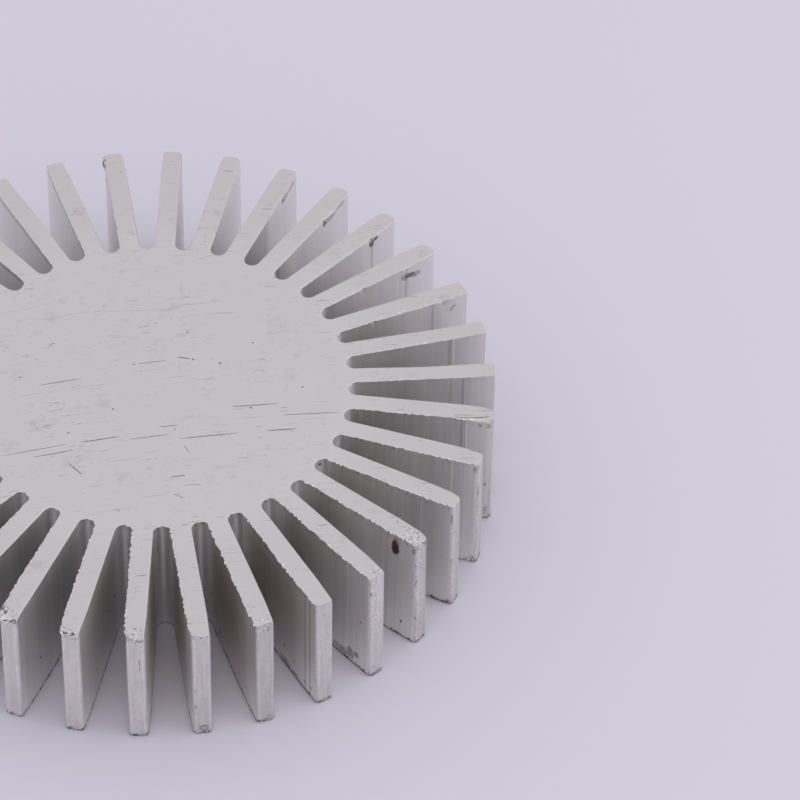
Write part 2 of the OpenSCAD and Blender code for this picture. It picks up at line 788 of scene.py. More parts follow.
# Painted light and shade: parts of the walls that are lighter or darker than the rest
RIGHT = Rise(Axis.X, 20.0, 27.0)
FRONT = Rise(Axis.Y, -22.0, -32.0)
WALL_LIGHT_PATCHES = (
    LightPatch(0.12, (Rise(Axis.OUT, 45.0, 36.0), RIGHT, Rise(Axis.Y, -12.0, -17.0))),
    LightPatch(0.08, (Rise(Axis.OUT, 41.0, 47.0), Rise(Axis.Y, -34.0, -41.0))),
    LightPatch(0.16, (Band(Axis.OUT, 38.0, 8.0), Band(Axis.X, 26.0, 9.0), FRONT)),
    LightPatch(0.14, (Rise(Axis.OUT, 37.0, 31.0), RIGHT, Band(Axis.Y, -2.0, 5.0))),
    LightPatch(0.2, (Rise(Axis.OUT, 37.0, 31.0), RIGHT, Band(Axis.Y, 5.7, 6.5))),
    LightPatch(0.14, (Band(Axis.OUT, 41.0, 5.0), RIGHT, Band(Axis.Y, 13.0, 5.0))),
    LightPatch(0.12, (Band(Axis.OUT, 34.0, 4.0), Rise(Axis.X, 18.0, 20.0), Band(Axis.Y, 26.2, 3.5))),
    LightPatch(-0.12, (Rise(Axis.OUT, 41.0, 46.0), RIGHT, Band(Axis.Y, 2.0, 22.0))),
    LightPatch(-0.12, (Rise(Axis.OUT, 42.0, 47.0), RIGHT, Band(Axis.Y, -25.0, 6.0))),
    LightPatch(
        -0.14,
        (Rise(Axis.OUT, 40.0, 32.0), Rise(Axis.OUT, 29.5, 31.5), FRONT, Band(Axis.X, 2.0, 14.0)),
    ),
    LightPatch(-0.06, (Rise(Axis.OUT, 35.0, 31.0), Rise(Axis.X, 8.0, 16.0), Rise(Axis.Y, 10.0, 14.0))),
)
# Rust, pits, stains and dirt in their places on the fins and on the top face, with painted shade under
# some top edges and in some slot roots
RUST_SPOTS = (
    Spot(4, (46.05, -1.48, 18.3), 1.6, 3.2),
    Spot(4, (45.85, -1.5, 20.2), 0.16, 0.9),
    Spot(4, (46.15, -1.48, 20.3), 0.14, 0.9),
    Spot(4, (46.45, -1.47, 20.2), 0.16, 0.8),
    Spot(-5, (42.6, -1.5, 20.2), 0.7, 1.1),
)
RUST_CORES = (
    Spot(4, (46.15, -1.48, 17.9), 1.1, 2.4),
    Spot(4, (45.9, -1.48, 18.9), 0.6, 1.2),
)
WALL_PITS = (
    Spot(1, (48.1, -1.41, 19.8), 0.6, 0.8),
    Spot(6, (48.4, -1.4, 2.0), 0.6, 0.7),
    Spot(6, (46.75, -1.46, 2.0), 0.42, 0.55),
    Spot(6, (43.7, -1.5, 3.4), 0.5, 0.7),
    Spot(6, (40.7, -1.5, 4.0), 0.5, 0.7),
    Spot(-2, (47.2, -2.07, 18.7), 0.5, 0.7),
    Spot(-2, (47.7, -2.06, 19.2), 0.6, 0.6),
)
CORNER_PITS = (
    Spot(1, (49.3, -1.36, 19.7), 0.7, 0.9),
    Spot(1, (49.1, -1.37, 7.4), 0.5, 0.8),
    Spot(1, (49.2, -1.37, 1.8), 0.55, 1.8),
    Spot(2, (49.4, -1.36, 19.7), 0.6, 1.2),
    Spot(2, (49.85, -1.15, 15.4), 0.4, 2.0),
    Spot(2, (49.3, -1.36, 1.0), 0.55, 1.5),
    Spot(3, (49.65, -1.3, 18.2), 0.45, 2.4),
    Spot(3, (49.75, -1.25, 9.6), 0.36, 0.9),
    Spot(3, (49.4, -1.36, 0.7), 0.6, 0.8),
    Spot(4, (49.3, -1.37, 19.5), 0.7, 1.5),
    Spot(4, (49.6, -1.31, 16.6), 0.3, 0.7),
    Spot(4, (49.8, -1.22, 12.8), 0.36, 1.9),
    Spot(4, (49.7, -1.27, 5.4), 0.3, 0.8),
    Spot(5, (49.8, -1.2, 17.6), 0.4, 1.0),
    Spot(5, (49.72, -1.27, 19.6), 0.35, 0.7),
)
DARK_STAINS = (
    Spot(-4, (44.3, -1.5, 19.9), 1.0, 1.5),
    Spot(-4, (45.2, -1.5, 20.3), 1.0, 0.7),
    Spot(-3, (45.1, -1.5, 19.0), 2.2, 0.8),
    Spot(-6, (43.8, -1.5, 20.2), 0.6, 1.1),
    Spot(-9, (48.8, 1.9, 20.1), 1.6, 2.6),
    Spot(7, (33.7, -1.5, 2.4), 0.6, 0.9),
    Spot(7, (34.4, -1.5, 2.2), 0.4, 0.5),
    Spot(7, (32.4, -1.5, 0.7), 0.6, 0.9),
    Spot(7, (30.3, -1.5, 7.2), 0.4, 0.5),
    Spot(10, (42.1, 1.5, 4.9), 0.5, 0.6),
    Spot(10, (31.4, 1.5, 8.8), 0.5, 0.6),
    Spot(10, (35.0, 1.5, 9.5), 0.36, 0.5),
    Spot(11, (43.5, 1.5, 6.4), 0.4, 0.5),
    Spot(0, (23.2, -16.8, 19.9), 0.5, 0.7),
    Spot(5, (47.8, -1.42, 10.2), 0.36, 0.5),
    Spot(4, (47.3, -1.44, 3.2), 0.3, 0.7),
)
# Painted shadow under the top edges of two fins at the back right
EDGE_SHADES = (
    Spot(-6, (44.6, -1.5, 20.2), 2.6, 0.9),
    Spot(-6, (47.2, -1.47, 20.2), 2.6, 0.8),
    Spot(-5, (44.2, -1.5, 20.15), 3.0, 0.9),
    Spot(-5, (47.2, -1.46, 20.5), 2.6, 0.7),
)
# Painted shade deep in some slot roots at the back right
SHADED_ROOTS = (
    Spot(-7, (29.4, -2.1, MID_WALL), 2.6, WHOLE_WALL),
    Spot(-6, (31.5, -1.5, MID_WALL), 9.0, WHOLE_WALL),
    Spot(-6, (34.0, -1.5, MID_WALL), 8.0, WHOLE_WALL),
    Spot(-5, (29.4, -2.1, MID_WALL), 2.6, WHOLE_WALL),
)
TIP_PITS = (
    Spot(5, (49.95, -0.16, 0.7), 0.4, 0.5),
    Spot(8, (49.95, -0.95, 9.1), 0.32, 0.9),
    Spot(8, (49.93, -1.0, 5.8), 0.3, 1.3),
    Spot(9, (50.0, 0.5, 15.4), 0.2, 3.2),
    Spot(9, (50.0, -0.2, 0.4), 1.1, 0.5),
)
WALL_DIRT = (
    Spot(5, (43.8, -1.5, 0.9), 3.8, 2.0),
    Spot(5, (45.7, -1.5, 1.8), 1.6, 2.4),
    Spot(5, (47.0, -1.45, 2.4), 1.2, 1.1),
    Spot(6, (41.0, -1.5, 0.8), 2.8, 1.8),
    Spot(6, (44.4, -1.5, 0.6), 3.0, 1.2),
    Spot(-3, (44.3, -1.5, 19.1), 1.7, 1.4),
    Spot(-3, (46.2, -1.48, 18.7), 1.8, 1.1),
)
TIP_DIRT = (
    Spot(7, (49.95, 0.5, 0.8), 1.1, 1.4),
    Spot(8, (49.95, 0.2, 1.2), 1.4, 1.4),
    Spot(10, (49.95, 0.0, 0.4), 2.2, 0.9),
)
TIP_SCUFFS = (
    Spot(4, (49.9, -0.6, 20.2), 2.6, 1.8),
    Spot(7, (50.0, 0.0, 20.2), 3.0, 1.5),
    Spot(8, (50.0, -0.3, 20.7), 2.6, 0.8),
    Spot(9, (50.0, 0.0, 20.6), 2.6, 0.9),
    Spot(10, (50.0, 0.0, 20.3), 3.0, 1.4),
    Spot(11, (50.0, 0.0, 20.2), 3.0, 1.6),
)
TIP_WORN = (
    Spot(2, (49.8, -1.0, 10.0), 1.5, 22.0),
    Spot(3, (49.8, -1.0, 10.0), 1.5, 22.0),
    Spot(4, (49.8, -0.8, 10.0), 2.4, 24.0),
    Spot(5, (49.9, -0.4, 16.0), 2.2, 12.0),
)
TOP_SCUFFS = (
    top_scuff(4, 48.4, -0.3, 4.0),
    top_scuff(5, 49.0, 0.4, 1.8),
    top_scuff(7, 49.8, 0.0, 2.0),
    top_scuff(9, 49.0, 0.0, 2.6),
    top_scuff(10, 49.9, -0.3, 2.4),
    top_scuff(11, 49.6, -0.3, 3.2),
)
CRUSHED_TIPS = (
    Spot(10, (50.2, -0.7, 20.9), 1.0, 3.0),
    Spot(10, (50.2, 0.4, 20.9), 0.9, 3.0),
    Spot(11, (48.9, -1.1, 20.8), 1.6, 3.0),
    Spot(11, (50.3, -0.7, 20.6), 1.2, 3.0),
    Spot(11, (50.2, 0.9, 20.6), 1.0, 3.0),
    Spot(-9, (48.8, 1.9, 20.6), 1.2, 3.0),
)
TOP_STAINS = (top_smear(-10.2, 37.2, 2.0),)
TOP_SMEARS = (
    top_smear(-16.8, -7.7, 3.2),
    top_smear(-10.7, -14.0, 2.6),
    top_smear(-13.0, -15.2, 2.6),
    top_smear(-21.4, -11.5, 2.8),
    top_smear(-5.1, -19.0, 2.6),
    top_smear(19.8, 0.3, 2.4),
    top_smear(-20.0, 2.6, 2.2),
    top_smear(-15.0, 14.6, 2.6),
    top_smear(0.3, 7.4, 3.4),
    top_smear(-7.7, -3.6, 2.4),
    top_smear(18.6, 11.2, 3.2),
)
DARK_LINES = (
    die_line(-4, 44.4, 0.4),
    die_line(-3, 44.4, 0.4),
    die_line(-2, 44.15, 0.35, 0.57),
    die_line(-1, 44.3, 0.5, 0.18),
    die_line(0, 45.2, 0.35),
    die_line(0, 43.4, 0.2),
    die_line(1, 45.4, 0.4),
    die_line(1, 45.9, 0.16),
    die_line(6, 48.0, 0.4),
    die_line(6, 46.8, 0.4),
)
BRIGHT_LINES = (
    die_line(-1, 44.95, 0.2, 0.18),
    die_line(1, 46.1, 0.2),
    die_line(2, 45.9, 0.24),
    die_line(3, 44.8, 0.16),
    die_line(5, 45.0, 0.16),
    die_line(6, 47.4, 0.3),
)
# Painted shade in the scratches, the faint scratches and the crack: darker metal on their floors
SCRATCH_SHADE_FINISH = PlainMetal("scratch_floor", display_colour(132, 126, 124), 0.5, 1.0)
STAIN_FINISH = PlainMetal("brown_stain", display_colour(146, 124, 112), 0.6, 0.8)
FAINT_SHADE_FINISH = PlainMetal("faint_scratch", display_colour(182, 177, 177), 0.42, 0.6)


@dataclass(frozen=True)
class FinSection:
    """Sizes of the extruded section, in metres, with one fin on +X."""

    outer_radius: float
    core_radius: float = 28.5 * MM
    fin_count: int = FIN_COUNT
    fin_thickness: float = 2 * HALF_FIN * MM
    taper_length: float = TAPER_LENGTH * MM
    taper_angle: float = TAPER_ANGLE
    corner_radius: float = 0.6 * MM

    @property
    def pitch(self) -> float:
        """Angle from one fin to the next."""
        return 2 * math.pi / self.fin_count

    @property
    def half_fin(self) -> float:
        """Half the thickness of a fin along its parallel part."""
        return self.fin_thickness / 2

    @property
    def root_center(self) -> float:
        """Distance from the axis to the centre of a slot root."""
        return (self.core_radius - self.half_fin) / (1 - math.sin(self.pitch / 2))

    @property
    def root_radius(self) -> float:
        """Radius of a slot root."""
        return self.root_center - self.core_radius

    @property
    def wall_start(self) -> float:
        """Distance along a fin at which its walls leave the slot roots."""
        return self.root_center * math.cos(self.pitch / 2)

    @property
    def taper_start(self) -> float:
        """Distance along a fin at which its walls begin to lean in."""
        return self.outer_radius - self.taper_length

    @property
    def corner_along(self) -> float:
        """Distance along a fin of the centre of a tip corner."""
        return self.outer_radius - self.corner_radius

    @property
    def corner_across(self) -> float:
        """Distance across a fin of the centre of a tip corner."""
        reach = self.corner_radius / math.cos(self.taper_angle)
        return self.half_thickness(self.corner_along) - reach

    def half_thickness(self, along: float) -> float:
        """Half the thickness of a fin with sharp corners at a distance along it."""
        return self.half_fin - max(0.0, along - self.taper_start) * math.tan(self.taper_angle)


@dataclass(frozen=True)
class Mark:
    """A scratch or spot in the top face, in mm.

    It follows the saw's stroke unless it has a turn of its own, in degrees.
    """

    x: float
    y: float
    length: float
    width: float
    turn: float | None = None
    skin: Skin = Skin.SCRATCH


@dataclass(frozen=True)
class Knock:
    """A dent in a fin. Fins are counted clockwise from +X, and places, reaches and pushes are in mm.

    Places and pushes run along the fin, across it anticlockwise, and up from the top face.
    """

    fin: int
    place: Place
    reach: Place
    push: Place


@dataclass(frozen=True)
class Split:
    """A crack that runs in from the clockwise top edge of a fin, in mm, with its sliver bent away."""

    fin: int
    start: float
    end: float
    depth: tuple[float, float]
    half_width: float
    sink: float
    spread: float
    droop: float
    # Which points take part: how far across and below, how near to a line, and how far outside it
    across_limit: float = -0.6
    below_limit: float = 0.2
    line_width: float = 0.03
    sliver_gap: float = 0.05
    # How the crack bows inward and the sliver bends away towards the end
    bow: int = 2
    bending: float = 0.4


@dataclass(frozen=True)
class SawEdge:
    """What the saw did to the edges of the top face, in mm.

    It drew a ragged burr out of those where its teeth left, and rolled over those where they came in.
    """

    way: tuple[float, float] = (-0.72, -0.69)
    burr: float = 0.2
    waves: float = 0.04
    flakes: float = 0.11
    nibs: float = 0.12
    lift: float = 0.06
    lip: float = 0.14
    reach: float = 0.22
    sag: float = 0.15
    least: float = 0.02
    roll: float = 0.16
    roll_reach: float = 0.32
    roll_drop: float = 0.5
    # Towards the back the burr gets shorter, by this share in the end
    calm_from: float = -26.0
    calm_over: float = 26.0
    calm_share: float = 0.6
    # How even the burr is along an edge, and how narrow and strong it is in a slot's root
    evenness: float = 0.25
    root_narrowing: int = 3
    root_gain: float = 4.0
    slant: float = 0.9
    flake_drift: float = 1.5
    # How many waves, flakes, nibs and lifts there are to a mm
    wave_rate: float = 0.35
    flake_rate: float = 2.3
    nib_rate: float = 4.4
    lift_rate: float = 3.1


class EditBench:
    """Modelling by hand: edit mode on one piece, with picks by place and Blender's own operators."""

    def __init__(self, piece: bpy.types.Object) -> None:
        """Keeps the piece to work on."""
        self.piece = piece

    def __enter__(self) -> "EditBench":
        """Goes into edit mode on the piece alone.

        Returns:
            This bench.
        """
        bpy.ops.object.select_all(action="DESELECT")
        self.piece.select_set(True)
        bpy.context.view_layer.objects.active = self.piece
        bpy.ops.object.mode_set(mode="EDIT")
        return self

    def __exit__(self, *_error: object) -> None:
        """Goes back to object mode."""
        bpy.ops.object.mode_set(mode="OBJECT")

    def pick(self, element: Element, test: Callable[[object], bool]) -> None:
        """Selects what passes a test, and nothing else.

        Args:
            element: Whether vertices, edges or faces are tested.
            test: Says whether one of them is picked.
        """
        bpy.ops.mesh.select_mode(type=element.name)
        bpy.ops.mesh.select_all(action="DESELECT")
        shape = bmesh.from_edit_mesh(self.piece.data)
        picked = [each for each in getattr(shape, element.value) if test(each)]
        for each in picked:
            each.select_set(True)
        bmesh.update_edit_mesh(self.piece.data)

    def pick_all(self) -> None:
        """Selects everything."""
        bpy.ops.mesh.select_all(action="SELECT")

    def draw_point(self, step: Vector) -> None:
        """Draws a line from the picked point."""
        bpy.ops.mesh.extrude_vertices_move(TRANSFORM_OT_translate={"value": step})

    def pull_faces(self, step: Vector) -> None:
        """Pulls the picked faces out into a solid."""
        bpy.ops.mesh.extrude_region_move(TRANSFORM_OT_translate={"value": step})

    def swing(self, steps: int, angle: float, center: Vector, copies: bool = False) -> None:
        """Sweeps or copies what is picked around an upright axis.

        Args:
            steps: Number of steps.
            angle: Whole angle, anticlockwise from above, in radians.
            center: A point on the axis.
            copies: Whether the steps are copies, not a swept line.
        """
        bpy.ops.mesh.spin(
            steps=steps, dupli=copies, angle=-angle, center=center, axis=(0.0, 0.0, 1.0)
        )

    def weld(self) -> None:
        """Merges points that lie on each other."""
        self.pick_all()
        bpy.ops.mesh.remove_doubles(threshold=TOUCH)


class FinWear:
    """Wear on the points of the body, worked out along, across and down each fin, in mm."""

    # Rows and layers of the noise that burrs are read from, so that no two fins or kinds are alike
    ROW_STEP, ROW_START = 3.0, 0.5
    WAVE_LAYER, FLAKE_LAYER, NIB_LAYER, LIFT_LAYER = 3.5, 11.5, 29.5, 47.5

    def __init__(self, section: FinSection, height: float, points: np.ndarray) -> None:
        """Finds the fin, the place on it and the way out of the metal for each point.

        Args:
            section: Sizes of the section.
            height: Height of the top face, in metres.
            points: The points, one to a row, in mm.
        """
        self.points = points
        self.move = np.zeros_like(points)
        pitch = section.pitch
        self.fin = np.rint(-np.arctan2(points[:, 1], points[:, 0]) / pitch).astype(int)
        turn = -self.fin * pitch
        self.cos, self.sin = np.cos(turn), np.sin(turn)
        self.along = points[:, 0] * self.cos + points[:, 1] * self.sin
        self.across = points[:, 1] * self.cos - points[:, 0] * self.sin
        self.below = height / MM - points[:, 2]
        self._find_way_out(section)

    def _find_way_out(self, section: FinSection) -> None:
        """Finds how deep each point lies inside the outline, and which way is out.

        Args:
            section: Sizes of the section.
        """
        side = np.where(self.across < 0, -1.0, 1.0)
        over = np.abs(self.across)
        start, corner = section.wall_start / MM, section.corner_along / MM
        root_y = section.root_center * math.sin(section.pitch / 2) / MM
        corner_y, radius = section.corner_across / MM, section.corner_radius / MM
        lean = np.clip(self.along - section.taper_start / MM, 0, None) * math.tan(section.taper_angle)

        to_root = np.stack([start - self.along, root_y - over])
        root_gap = np.hypot(*to_root)
        from_corner = np.stack([self.along - corner, over - corner_y])
        corner_gap = np.hypot(*from_corner)
        in_root = self.along < start
        at_tip = (self.along > corner) & (over <= corner_y)
        at_corner = (self.along > corner) & (over > corner_y)

        cases = [in_root, at_corner, at_tip]
        to_end = section.outer_radius / MM - self.along
        depths = [root_gap - section.root_radius / MM, radius - corner_gap, to_end]
        self.depth = np.select(cases, depths, section.half_fin / MM - lean - over)
        along = np.select(cases, [to_root[0] / root_gap, from_corner[0] / corner_gap, 1.0], 0.0)
        across = np.select(cases, [to_root[1] / root_gap, from_corner[1] / corner_gap, 0.0], 1.0)
        self.out = np.stack([along, across * side])
        half_pitch = section.pitch / 2
        facing = along * math.cos(half_pitch) + across * math.sin(half_pitch)
        self.root_face = np.where(in_root, np.clip(facing, 0.0, 1.0), 0.0)

    def _shift(self, along: np.ndarray, across: np.ndarray, up: np.ndarray) -> None:
        """Adds a move to each point.

        Args:
            along: The move along its fin, in mm.
            across: The move across it, anticlockwise.
            up: The move up.
        """
        self.move[:, 0] += along * self.cos - across * self.sin
        self.move[:, 1] += along * self.sin + across * self.cos
        self.move[:, 2] += up

    def saw(self, edge: SawEdge) -> None:
        """Draws a burr out of the edges where the saw left, and rolls over those where it came in.

        Args:
            edge: What the saw did.
        """
        x = self.out[0] * self.cos - self.out[1] * self.sin
        y = self.out[0] * self.sin + self.out[1] * self.cos
        leaving = x * edge.way[0] + y * edge.way[1]
        calm = np.clip((self.points[:, 1] - edge.calm_from) / edge.calm_over, 0.0, 1.0)
        at_lip = np.exp(-((self.depth / edge.reach) ** 2) - (self.below / edge.lip) ** 2)
        # A slot's root is cut off straight, so most of its burr stands in the middle
        torn = np.clip(leaving, 0.0, 1.0) ** edge.evenness * (1.0 - self.root_face)
        rooted = self.root_face**edge.root_narrowing * np.clip(edge.root_gain * leaving, 0.0, 1.0)
        torn = np.maximum(torn, rooted)
        burr = torn * at_lip * (1.0 - edge.calm_share * calm)
        lengths, lifts = self._ragged(burr > edge.least, edge)
        at_roll = np.exp(-((self.depth / edge.roll_reach) ** 2) - (self.below / edge.roll_reach) ** 2)
        rolled = np.clip(-leaving, 0.0, 1.0) * at_roll * edge.roll
        grip = burr * lengths - rolled
        up = burr * (lifts - edge.sag * lengths) - edge.roll_drop * rolled
        self._shift(self.out[0] * grip, self.out[1] * grip, up)

    def _ragged(self, where: np.ndarray, edge: SawEdge) -> tuple[np.ndarray, np.ndarray]:
        """Uneven burrs along the edges: waves, torn flakes and small nibs that stand up or hang down.

        Args:
            where: Points that need one.
            edge: What the saw did.

        Returns:
            A length and a lift in mm for each point.
        """
        lengths = np.zeros(len(self.points))
        lifts = np.zeros(len(self.points))
        for i in np.flatnonzero(where):
            run = self.along[i] + edge.slant * self.across[i]
            row = self.fin[i] * self.ROW_STEP + self.ROW_START
            wave = noise.noise(Vector((run * edge.wave_rate, row, self.WAVE_LAYER)))
            torn_at = run * edge.flake_rate + edge.flake_drift * wave
            flake = noise.cell(Vector((torn_at, row, self.FLAKE_LAYER)))
            nib = noise.cell(Vector((run * edge.nib_rate, row, self.NIB_LAYER)))
            lengths[i] = edge.burr + edge.waves * wave + edge.flakes * flake + edge.nibs * nib
            lifts[i] = edge.lift * noise.cell(Vector((run * edge.lift_rate, row, self.LIFT_LAYER)))
        return np.clip(lengths, 0.0, None), lifts

    def split(self, split: Split, bands: tuple[float, ...]) -> np.ndarray:
        """Opens one crack and bends its sliver out.

        Args:
            split: The crack.
            bands: Depths of the three lines of points along the edge that become the crack, in mm.

        Returns:
            Whether each point is at the bottom of the crack.
        """
        share = np.clip((self.along - split.start) / (split.end - split.start), 0.0, 1.0)
        here = (self.fin == split.fin) & (self.across < split.across_limit)
        here &= self.below < split.below_limit
        here &= (self.along > split.start) & (self.along < split.end)
        crack = split.depth[0] + (split.depth[1] - split.depth[0]) * share**split.bow
        lines = [here & (np.abs(self.depth - band) < split.line_width) for band in bands]
        inward = np.zeros_like(share)
        for line, band, side in zip(lines, bands, (-1.0, 0.0, 1.0)):
            inward = np.where(line, crack + side * split.half_width - band, inward)
        bottom = lines[1]
        outside = here & (self.depth < bands[0] - split.sliver_gap)
        sliver = np.where(outside, share**split.bending, 0.0)
        sink = np.where(bottom, split.sink * np.sqrt(share), 0.0)
        self._shift(np.zeros_like(share), inward - split.spread * sliver, -sink - split.droop * sliver)
        return bottom

    def knock(self, knock: Knock) -> None:
        """Pushes in one dent, strongest at its place and fading over its reach.

        Args:
            knock: The dent.
        """
        gaps = (self.along - knock.place[0], self.across - knock.place[1], -self.below - knock.place[2])
        fade = np.exp(-sum((gap / reach) ** 2 for gap, reach in zip(gaps, knock.reach)))
        fade = np.where(self.fin == knock.fin, fade, 0.0)
        self._shift(*(fade * push for push in knock.push))

    def worn(self) -> np.ndarray:
        """The points after all moves."""
        return self.points + self.move


@dataclass
class HeatSinkBody:
    """The whole part: a core and its ring of fins, sawn off at both ends."""

    section: FinSection
    height: float
    marks: list[Mark] = field(default_factory=list)
    knocks: list[Knock] = field(default_factory=list)
    splits: list[Split] = field(default_factory=list)
    stroke: SawStroke = SawStroke()
    saw_edge: SawEdge = SawEdge()
    wall_step: float = 0.22 * MM
    root_steps: int = 6
    corner_steps: int = 6
    edge_bands: tuple[float, ...] = (0.24 * MM, 0.08 * MM, 0.08 * MM)
    rim: float = 0.05 * MM
    foot_rim: float = 0.12 * MM
    mark_points: int = 12
    mark_sink: float = 0.25
    mark_near: float = MM / 100
    levels: tuple[float, ...] = (0.3 * MM, 0.9 * MM, 2.2 * MM, 18.8 * MM, 20.5 * MM)
    # A face with more points than this that looks up is the middle of the top
    cover_points: int = 99
    cover_slope: float = 0.9
    rim_slope: float = 0.5
    # A tip begins this share of its corner's radius beyond the corner's centre
    tip_share: float = 0.35
    # Faces that look up or down more than this are sawn
    sawn_above: float = 0.2
    sawn_below: float = -0.95
    smooth_angle: float = math.radians(30.0)
    piece: bpy.types.Object = field(init=False)
    bench: EditBench = field(init=False)
    cracked: np.ndarray = field(init=False)

    def build(self) -> bpy.types.Object:
        """Models the body and dresses it.

        Returns:
            The finished piece.
        """
        self.piece = self._start_point()
        with EditBench(self.piece) as self.bench:
            self._draw_half_fin()
            self._mirror_and_repeat()
            self._cover_top()
            self._pull_down()
            self._round_rims()
            self._set_marks()
        self._wear()
        self._dress()
        return self.piece

    def _start_point(self) -> bpy.types.Object:
        """Adds a small plate where a wall leaves its slot root, and shrinks it to one point.

        Returns:
            The new piece, with its place in its mesh.
        """
        bpy.ops.object.select_all(action="DESELECT")
        start = (self.section.wall_start, self.section.half_fin, self.height)
        bpy.ops.mesh.primitive_plane_add(size=MM, location=start)
        piece = bpy.context.object
        piece.name = "heat_sink_body"
        piece.data.name = piece.name
        bpy.ops.object.transform_apply(location=True, rotation=True, scale=True)
        with EditBench(piece) as bench:
            bench.pick_all()
            bpy.ops.mesh.merge(type="CENTER")
        return piece

    def _draw_half_fin(self) -> None:
        """Draws the section's line from the bottom of a slot to the middle of a tip."""
        section = self.section
        start = Vector((section.wall_start, section.half_fin, self.height))
        self.bench.pick_all()
        root_y = section.root_center * math.sin(section.pitch / 2)
        root = Vector((section.wall_start, root_y, self.height))
        self.bench.swing(self.root_steps, -(math.pi / 2 - section.pitch / 2), root)

        self.bench.pick(Element.VERT, lambda point: (point.co - start).length < TOUCH)
        straight = section.taper_start - section.wall_start
        count = round(straight / self.wall_step)
        for _ in range(count):
            self.bench.draw_point(Vector((straight / count, 0.0, 0.0)))

        lean = section.corner_along + section.corner_radius * math.sin(section.taper_angle)
        lean -= section.taper_start
        count = round(lean / self.wall_step)
        drop = -lean / count * math.tan(section.taper_angle)
        for _ in range(count):
            self.bench.draw_point(Vector((lean / count, drop, 0.0)))

        corner = Vector((section.corner_along, section.corner_across, self.height))
        self.bench.swing(self.corner_steps, -(math.pi / 2 - section.taper_angle), corner)
        self.bench.draw_point(Vector((0.0, -section.corner_across, 0.0)))

    def _mirror_and_repeat(self) -> None:
        """Mirrors the half fin and copies the whole one around the axis."""
        self.bench.pick_all()
        bpy.ops.mesh.duplicate()
        bpy.ops.transform.resize(value=(1.0, -1.0, 1.0), center_override=(0.0, 0.0, self.height))
        self.bench.weld()
        others = self.section.fin_count - 1
        axis = Vector((0.0, 0.0, self.height))
        self.bench.swing(others, others * self.section.pitch, axis, copies=True)
        self.bench.weld()

    def _cover_top(self) -> None:
        """Covers the outline with one face and lays bands of faces along its edge."""
        self.bench.pick(Element.EDGE, lambda edge: True)
        bpy.ops.mesh.edge_face_add()
        self.bench.pick(Element.FACE, lambda face: True)
        bpy.ops.mesh.normals_make_consistent(inside=False)
        for band in self.edge_bands:
            bpy.ops.mesh.inset(thickness=band)

    def _pull_down(self) -> None:
        """Pulls the section down to its length, level by level, and makes the underside plain."""
        self.bench.pick(Element.FACE, lambda face: True)
        done = 0.0
        for level in (*self.levels, self.height):
            self.bench.pull_faces(Vector((0.0, 0.0, done - level)))
            done = level
        bpy.ops.mesh.dissolve_faces()
        self.bench.weld()
        bpy.ops.mesh.normals_make_consistent(inside=False)

    def _round_rims(self) -> None:
        """Breaks the sharp rims of both faces."""
        for level, width in ((self.height, self.rim), (0.0, self.foot_rim)):
            self.bench.pick(Element.EDGE, lambda edge: self._is_rim(edge, level))
            bpy.ops.mesh.bevel(
                offset=width, offset_type="OFFSET", segments=1, affect="EDGES", clamp_overlap=False
            )

    def _set_marks(self) -> None:
        """Takes the middle of the top face away, sets the marks in and fills the rest again."""
        for _ in Skin:
            self.piece.data.materials.append(None)
        self.bench.pick(Element.FACE, self._is_cover)
        bpy.ops.mesh.delete(type="ONLY_FACE")
        for mark in self.marks:
            self._add_mark(mark)
        self.bench.pick(Element.EDGE, lambda edge: len(edge.link_faces) == 1)
        self.piece.active_material_index = Skin.SAWN
        bpy.ops.mesh.fill()
        self.bench.pick_all()
        bpy.ops.mesh.normals_make_consistent(inside=False)
        for mark in self.marks:
            middle = Vector((mark.x * MM, mark.y * MM, self.height))
            self.bench.pick(Element.VERT, lambda point: (point.co - middle).length < self.mark_near)
            bpy.ops.transform.translate(value=(0.0, 0.0, -mark.width * self.mark_sink * MM))

    def _add_mark(self, mark: Mark) -> None:
        """Adds one scratch or spot in the plane of the top face.

        Args:
            mark: The mark.
        """
        turn = self.stroke.turn_at(mark.x) if mark.turn is None else math.radians(mark.turn)
        middle = (mark.x * MM, mark.y * MM, self.height)
        bpy.ops.mesh.primitive_circle_add(
            vertices=self.mark_points, radius=MM / 2, fill_type="TRIFAN", location=middle
        )
        bpy.ops.transform.resize(value=(mark.length, mark.width, 1.0), center_override=middle)
        bpy.ops.transform.rotate(value=-turn, orient_axis="Z", center_override=middle)
        self.piece.active_material_index = mark.skin
        bpy.ops.object.material_slot_assign()

    def _is_cover(self, face: bmesh.types.BMFace) -> bool:
        """Says whether a face is the middle of the top."""
        return len(face.verts) > self.cover_points and face.normal.z > self.cover_slope

    def _is_rim(self, edge: bmesh.types.BMEdge, level: float) -> bool:
        """Says whether an edge lies between a sawn face and a wall.

        Args:
            edge: The edge.
            level: Height of the sawn face, in metres.

        Returns:
            Whether it does.
        """
        if any(abs(point.co.z - level) > TOUCH for point in edge.verts):
            return False
        upright = [abs(face.normal.z) > self.rim_slope for face in edge.link_faces]
        return len(upright) == 2 and upright[0] != upright[1]

    def _wear(self) -> None:
        """Moves points for the saw's burrs, the edges it rolled over and the knocks."""
        mesh = self.piece.data
        points = np.empty(len(mesh.vertices) * 3)
        mesh.vertices.foreach_get("co", points)
        points = points.reshape(-1, 3) / MM
        wear = FinWear(self.section, self.height, points)
        wear.saw(self.saw_edge)
        self.cracked = np.zeros(len(points), dtype=bool)
        bands = tuple(np.cumsum(self.edge_bands) / MM)
        for split in self.splits:
            self.cracked |= wear.split(split, bands)
        for knock in self.knocks:
            wear.knock(knock)
        mesh.vertices.foreach_set("co", (wear.worn() * MM).ravel())
        mesh.update()

